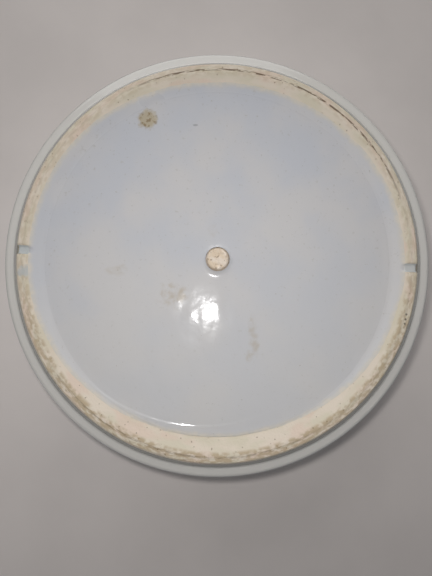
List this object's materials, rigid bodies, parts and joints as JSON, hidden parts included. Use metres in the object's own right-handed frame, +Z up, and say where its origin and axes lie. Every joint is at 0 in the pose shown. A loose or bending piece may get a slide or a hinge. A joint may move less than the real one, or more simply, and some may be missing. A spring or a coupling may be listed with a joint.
{
  "type": "serving bowl",
  "caption": "Round steep-sided glazed stoneware serving bowl, mouth up, on a wide unglazed foot ring with drain notches and a support pip under its recessed base.",
  "frame": {"origin": "centre of the circle on which the foot ring stands", "axes": "+Z up through the mouth; +Y towards the side of the base to which the support pip is offset; +X close to the drain notch a"},
  "size_m": [0.254, 0.254, 0.08],
  "materials": {
    "clay": "bare fired stoneware, matt",
    "dry_foot": "bare fired stoneware, wiped clean of glaze, matt and worn",
    "dry_pip": "bare fired stoneware, pitted, matt",
    "outer_coat": "pale grey gloss glaze",
    "lining": "pale blue-grey gloss glaze",
    "base_coat": "pale blue-grey gloss glaze with fine ripple",
    "notch_coat": "pale blue-grey gloss glaze, pooled"
  },
  "bodies": {
    "root": {"clay_body": "clay", "foot_ring": "dry_foot", "support_pip": "dry_pip", "outer_glaze": "outer_coat", "inner_glaze": "lining", "base_glaze": "base_coat", "notch_glaze_a": "notch_coat", "notch_glaze_b": "notch_coat"}
  },
  "joints": []
}
